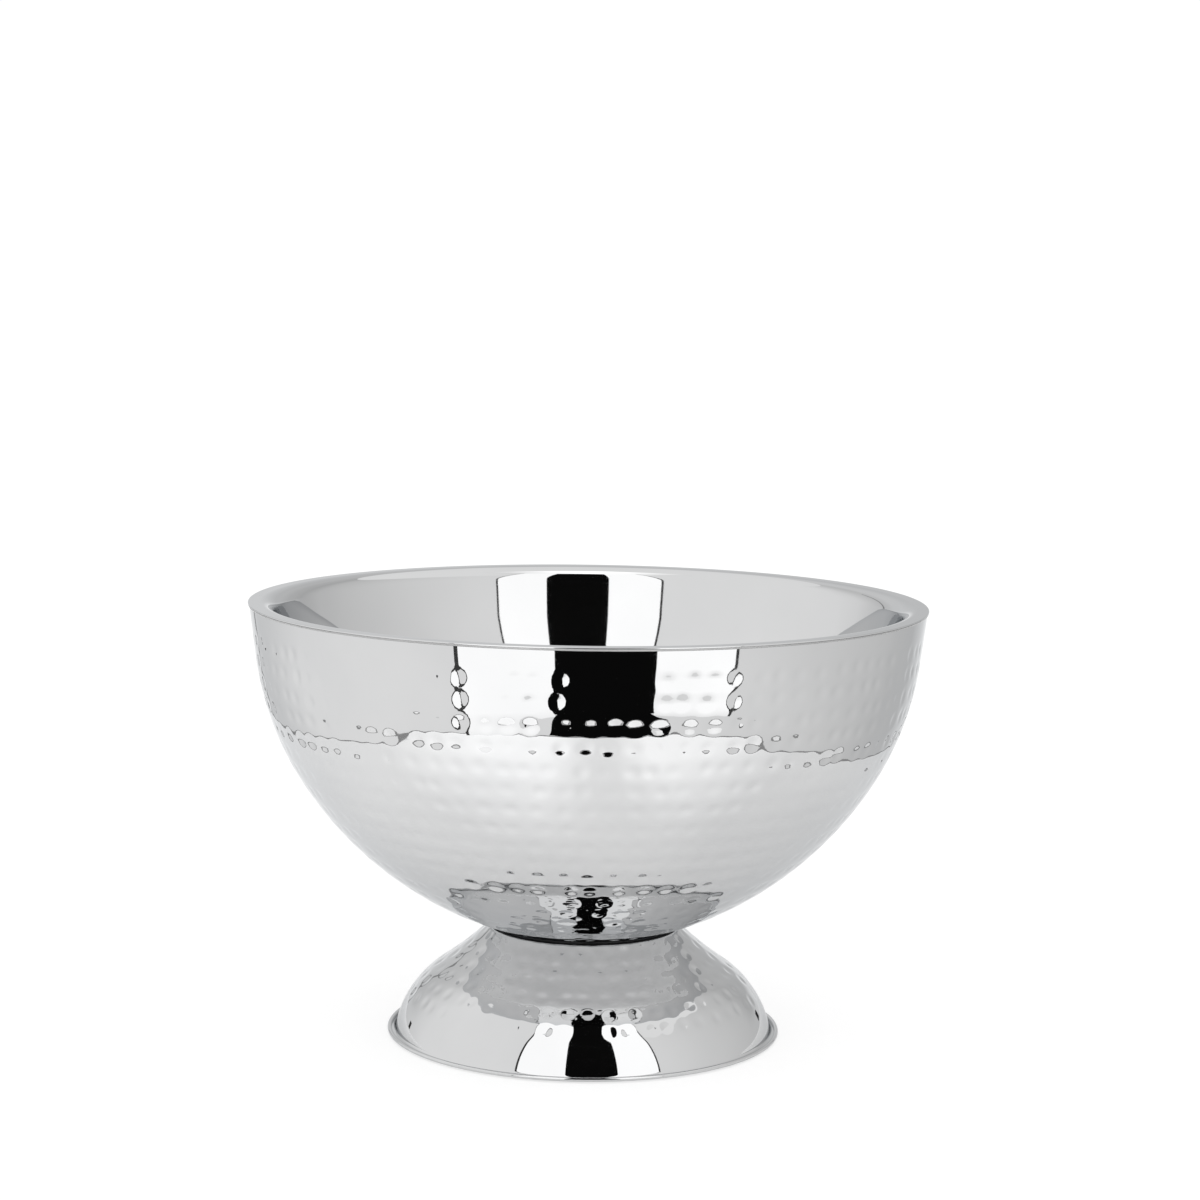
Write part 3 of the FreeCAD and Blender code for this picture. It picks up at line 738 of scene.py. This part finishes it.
def make_stud():
    """The stud with its thread cut as one helix, under a low round head."""
    def shift(angles, number, point):
        radius = np.full(len(angles), point[0])
        if point[0] > STUD_SHANK - 0.01:
            turn = point[1] / THREAD_PITCH - angles / (2 * math.pi)
            tooth = np.abs(2 * (turn % 1.0) - 1)
            flat = np.clip((tooth - 0.10) / 0.75, 0, 1)
            radius = STUD_SHANK - THREAD_DEPTH * flat
            bevel = STUD_SHANK - THREAD_DEPTH - 0.35 + (point[1] - STUD_LOW)
            radius = np.minimum(radius, bevel)
        return radius, np.full(len(angles), point[1])

    head_low = PLATE_HIGH
    end = STUD_SHANK - THREAD_DEPTH - 0.35
    outline = chain(
        [(0.0, STUD_LOW), (end * 0.5, STUD_LOW), (end - 0.05, STUD_LOW)],
        straight((STUD_SHANK, STUD_LOW + 0.05), (STUD_SHANK, head_low - 0.05), 0.11),
        [(STUD_SHANK - 0.02, head_low)],
        arc((HEAD_RADIUS - 0.4, head_low + 0.4), 0.4, 270, 360, 0.15),
        arc((HEAD_RADIUS - 0.9, STUD_HIGH - 0.9), 0.9, 0, 90, 0.25),
        [(0.0, STUD_HIGH)],
    )
    stud = Turned("threaded_stud")
    stud.add(outline, 60, 0, shift)
    stud.build([ZINC], "base_stud")


def make_nut():
    """A hexagon with its corners turned off at both faces, and a threaded bore."""
    corner = NUT_FLAT / math.cos(math.pi / 6)
    sink = 0.55

    def shift(angles, number, point):
        radius = np.full(len(angles), point[0])
        level = np.full(len(angles), point[1])
        if point[0] > NUT_FLAT:
            sector = (angles + math.pi / 6) % (math.pi / 3) - math.pi / 6
            near = min(point[1] - NUT_LOW, NUT_HIGH - point[1])
            cone = NUT_FLAT - 0.05 + (corner - NUT_FLAT + 0.05) * near / NUT_CHAMFER
            radius = np.minimum(NUT_FLAT / np.cos(sector), cone)
        elif point[0] < NUT_BORE + 0.01 and NUT_LOW + sink < point[1] < NUT_HIGH - sink:
            turn = point[1] / THREAD_PITCH - angles / (2 * math.pi)
            radius = radius + 0.5 * THREAD_DEPTH * (1 - np.abs(2 * (turn % 1.0) - 1))
        return radius, level

    outer = NUT_CORNER + 1
    levels = np.concatenate([
        np.linspace(NUT_LOW, NUT_LOW + NUT_CHAMFER, 10),
        [(NUT_LOW + NUT_HIGH) / 2],
        np.linspace(NUT_HIGH - NUT_CHAMFER, NUT_HIGH, 10),
    ])
    outline = chain(
        [(NUT_BORE + sink, NUT_LOW), (NUT_FLAT - 0.4, NUT_LOW)],
        [(outer, level) for level in levels],
        [(NUT_FLAT - 0.4, NUT_HIGH), (NUT_BORE + sink, NUT_HIGH)],
        straight((NUT_BORE, NUT_HIGH - sink), (NUT_BORE, NUT_LOW + sink), 0.16),
    )
    nut = Turned("hexagon_nut")
    nut.add(outline, 180, 0, shift)
    nut.build([ZINC], "hex_nut", 20.0)


def make_spring_washer():
    """A split ring with rounded corners, its two ends cut square and a little apart."""
    outline = rounded_ring(STUD_HOLE, SPRING_RADIUS, SPRING_LOW, SPRING_HIGH, 0.25)
    half_gap = SPRING_GAP / 2 / ((STUD_HOLE + SPRING_RADIUS) / 2)
    angles = np.linspace(half_gap, 2 * math.pi - half_gap, 97)
    points = np.array([
        (radius * math.cos(a), radius * math.sin(a), level) for a in angles for radius, level in outline
    ]) * MM
    count = len(outline)
    faces = []
    for section in range(len(angles) - 1):
        for corner in range(count):
            after = (corner + 1) % count
            near, far = section * count, (section + 1) * count
            faces.append((near + corner, near + after, far + after, far + corner))
    faces.append(tuple(range(count))[::-1])
    last = (len(angles) - 1) * count
    faces.append(tuple(range(last, last + count)))
    sides = [face for face in faces if len(face) == 4]
    if signed_volume(points, sides) < 0:
        faces = [face[::-1] for face in faces]
    mesh_piece(
        "split_washer", points, faces, [0] * len(faces), [ZINC], "spring_washer", 35.0
    )


make_inner_liner()
make_outer_shell()
make_seam_weld()
make_pedestal_foot()
make_gasket()
make_flat_rings()
make_stud()
make_nut()
make_spring_washer()


# ---------------------------------------------------------------- stage, light and camera


def stage_piece(name, corners, faces, strength, albedo):
    """A stage surface in metres. strength is a number, or a way to work it out from the look."""
    mesh = bpy.data.meshes.new(name)
    mesh.from_pydata(corners, [], faces)
    look = Look(name, Base_Color=(albedo, albedo, albedo, 1), Roughness=0.9)
    look.shader.inputs["Specular IOR Level"].default_value = 0.0
    look.shader.inputs["Emission Color"].default_value = (1, 1, 1, 1)
    if callable(strength):
        look.wire(Emission_Strength=strength(look))
    else:
        look.shader.inputs["Emission Strength"].default_value = strength
    mesh.materials.append(look.material)
    piece = bpy.data.objects.new(name, mesh)
    bpy.context.scene.collection.objects.link(piece)
    return piece


def flat_piece(name, corners, strength, albedo=0.0):
    return stage_piece(name, corners, [tuple(range(len(corners)))], strength, albedo)


def only_in_reflections(piece, lights=False):
    piece.visible_camera = False
    piece.visible_diffuse = lights
    piece.visible_shadow = False


def upright(name, start, end, height, strength, foot=0.001, lights=False):
    """A card standing on the floor between two places on it."""
    corners = [(*start, foot), (*end, foot), (*end, height), (*start, height)]
    only_in_reflections(flat_piece(name, corners, strength), lights)


def fading_to(low_end, full=1.5, level=0.06):
    """A soft box that is a little dimmer towards its lower end."""
    def strength(look):
        return look.spread(look.axes()[2], low_end, full, 0.0, level)
    return strength


def painted_table_light(look):
    """Painted light: a pool of light painted brighter in front of each soft box, and painted light falling a
    little from left to right.
    """
    x, y, z = look.axes()
    towards_front = look.spread(y, 1.0, 0.0, -0.34, -0.15)
    aside = look.spread(look.worked("ABSOLUTE", look.added(x, -0.03)), 0.15, 1.0, 0.02, 0.10)
    # A painted pool of light in front of each soft box.
    painted_light_pool = look.scaled(look.scaled(towards_front, aside), 0.30)
    return look.added(look.added(painted_light_pool, 0.30), look.spread(x, 0.06, -0.06, -0.25, 0.25))


def top_light_strength(look):
    """Brightest in the middle and soft at both ends."""
    return look.spread(look.worked("ABSOLUTE", look.axes()[0]), 1.8, 0.95, 0.10, 0.50)


REACH = 12.0
floor = flat_piece(
    "floor",
    [(-REACH, -REACH, -0.001), (REACH, -REACH, -0.001), (REACH, REACH, -0.001), (-REACH, REACH, -0.001)],
    0.72,
    0.34,
)
floor.visible_glossy = False

# What the steel mirrors: a pale table with a thin dark edge, on the even floor of the studio.
# Its two front corners are quarter ellipses.
TABLE_LEFT, TABLE_RIGHT = -0.45, 0.41
TABLE_FRONT, TABLE_BACK = -0.46, 1.15
CORNER_LEFT, CORNER_RIGHT = 0.33, 0.24
CORNER_DEPTH = 0.66
TABLE_EDGE = 0.009


def table_outline(grow, level):
    """The table's outline at one level, moved outwards by grow."""
    back, front = TABLE_BACK + grow, TABLE_FRONT - grow
    turns = np.linspace(0, math.pi / 2, 13)
    outline = []
    for side, width, order in (
        (TABLE_LEFT - grow, CORNER_LEFT, 1),
        (TABLE_RIGHT + grow, -CORNER_RIGHT, -1),
    ):
        corner = [(side, back, level)]
        for turn in turns:
            across = side + width * (1 - math.cos(turn))
            corner.append((across, front + CORNER_DEPTH * (1 - math.sin(turn)), level))
        outline += corner[::order]
    return outline


# The table top's emission paints light on it: a painted pool of light in front of each soft box.
only_in_reflections(flat_piece("table_top", table_outline(0.0, 0.0), painted_table_light, 0.72))
only_in_reflections(flat_piece("table_edge", table_outline(TABLE_EDGE, -0.0005), 0.34, 0.0))

# Two tall soft boxes with black frames flank a dark gap on the camera's side.
GAP_LEFT, GAP_RIGHT = (-0.09, -0.56), (0.20, -0.57)
LEFT_END, RIGHT_END = (-0.255, -0.37), (0.38, -0.42)
FRAME = 0.009
CARD_TOP = 1.4


def beyond(start, end, more):
    """The place a given way beyond the end of a line."""
    length = math.dist(start, end)
    return tuple(e + (e - s) * more / length for s, e in zip(start, end))


upright("soft_box_left", LEFT_END, GAP_LEFT, CARD_TOP, fading_to(1.36), lights=True)
upright("soft_box_right", GAP_RIGHT, RIGHT_END, CARD_TOP, fading_to(1.22), lights=True)
upright("frame_left", beyond(GAP_LEFT, LEFT_END, FRAME), LEFT_END, CARD_TOP, 0.06)
upright("frame_right", RIGHT_END, beyond(GAP_RIGHT, RIGHT_END, FRAME), CARD_TOP, 0.06)
upright("dark_gap", (GAP_LEFT[0] - 0.03, -0.60), (GAP_RIGHT[0] + 0.03, -0.60), CARD_TOP, 0.004)
only_in_reflections(flat_piece(
    "dark_gap_low",
    [
        (GAP_LEFT[0], -0.60, 0.001),
        (GAP_RIGHT[0], -0.60, 0.001),
        (GAP_RIGHT[0], -0.47, 0.001),
        (GAP_LEFT[0], -0.47, 0.001),
    ],
    0.004,
))

# The studio's wall as the steel mirrors it: a white glow, with painted shade dimming it towards each back
# corner.
# Shares of the way from the camera's side to the back: the painted shade's start, the start and end of
# its darkest part, and its end. Then how bright the darkest part is.
WALL_WHITE = 1.03
LEFT_CORNER_SHADE = (0.70, 0.91, 0.93, 0.97, 0.87)
RIGHT_CORNER_SHADE = (0.0, 0.80, 0.89, 0.98, 0.71)


def wall_strength(look):
    x, y, z = look.axes()
    way = look.made("ShaderNodeVectorMath", {"operation": "NORMALIZE"})
    level = look.made("ShaderNodeCombineXYZ", X=x, Y=y)
    look.links.new(level.outputs["Vector"], way.inputs[0])
    parts = look.made("ShaderNodeSeparateXYZ", Vector=way.outputs["Vector"])
    back = look.spread(parts.outputs["Y"], 0.0, 1.0, -1.0, 1.0)
    sides = []
    for *places, darkest in (LEFT_CORNER_SHADE, RIGHT_CORNER_SHADE):
        ramp = look.made("ShaderNodeValToRGB", Fac=back)
        elements = ramp.color_ramp.elements
        elements.new(places[1])
        elements.new(places[2])
        levels = (WALL_WHITE, darkest, darkest, WALL_WHITE)
        for element, place, value in zip(elements, places, levels):
            element.position = place
            element.color = (value / 1.5, value / 1.5, value / 1.5, 1)
        sides.append(ramp.outputs["Color"])
    right = look.spread(parts.outputs["X"], 0.0, 1.0, -0.08, 0.08)
    both = look.made("ShaderNodeMix", {"data_type": "RGBA"})
    look.links.new(right, both.inputs[0])
    look.links.new(sides[0], both.inputs[6])
    look.links.new(sides[1], both.inputs[7])
    # Above the horizon the far wall is dimmed by painted shade, most on the right.
    shade_above = look.spread(parts.outputs["X"], 0.16, 0.30, -0.15, 0.15)
    above = look.scaled(look.spread(z, 0.0, 1.0, 0.25, 0.7), look.spread(parts.outputs["Y"], 0.0, 1.0, 0.6, 0.9))
    fall = look.worked("SUBTRACT", 1.0, look.scaled(above, shade_above))
    return look.scaled(look.scaled(both.outputs[2], 1.5), fall)


def make_wall():
    radius, height, count = 5.0, 5.0, 96
    ring = [(radius * math.cos(a), radius * math.sin(a)) for a in np.linspace(0, 2 * math.pi, count + 1)[:-1]]
    corners = [(x, y, level) for level in (-height, height) for x, y in ring]
    faces = [(a, (a + 1) % count, count + (a + 1) % count, count + a) for a in range(count)]
    only_in_reflections(stage_piece("wall", corners, faces, wall_strength, 0.0))


make_wall()

# A soft light overhead, and a few dark stands that show as thin strokes in the steel.
only_in_reflections(flat_piece(
    "top_light",
    [(-0.5, -0.75, 1.5), (0.5, -0.75, 1.5), (0.5, 0.0, 1.5), (-0.5, 0.0, 1.5)],
    top_light_strength,
))
upright("stand_left", (-0.95, 1.75), (-1.00, 1.72), CARD_TOP, 0.35, foot=-1.0)
upright("clamp_left", (-0.94, 0.82), (-0.98, 0.77), 0.07, 0.05)
upright("clamp_right", (1.14, 1.57), (1.24, 1.49), 0.12, 0.03)


def make_world():
    world = bpy.data.worlds.new("studio")
    world.use_nodes = True
    back = world.node_tree.nodes["Background"]
    back.inputs["Color"].default_value = (1, 1, 1, 1)
    back.inputs["Strength"].default_value = 1.03
    bpy.context.scene.world = world


def make_camera():
    data = bpy.data.cameras.new("camera")
    data.sensor_width = 36.0
    data.lens = 89.46
    data.clip_start = 0.01
    camera = bpy.data.objects.new("camera", data)
    bpy.context.scene.collection.objects.link(camera)
    rim = cad_high.z
    camera.location = Vector((0.0, -8.738 * cad_high.x, rim + 1.069 * cad_high.x))
    down, aside, roll = math.radians(6.943), math.radians(0.217), math.radians(0.83)
    look_along = Euler((math.pi / 2 - down, 0.0, -aside), "XYZ").to_matrix()
    camera.rotation_euler = (look_along @ Euler((0.0, 0.0, roll)).to_matrix()).to_euler()
    bpy.context.scene.camera = camera


make_world()
make_camera()
bpy.context.scene.view_settings.view_transform = "Standard"
bpy.context.scene.cycles.glossy_bounces = 12
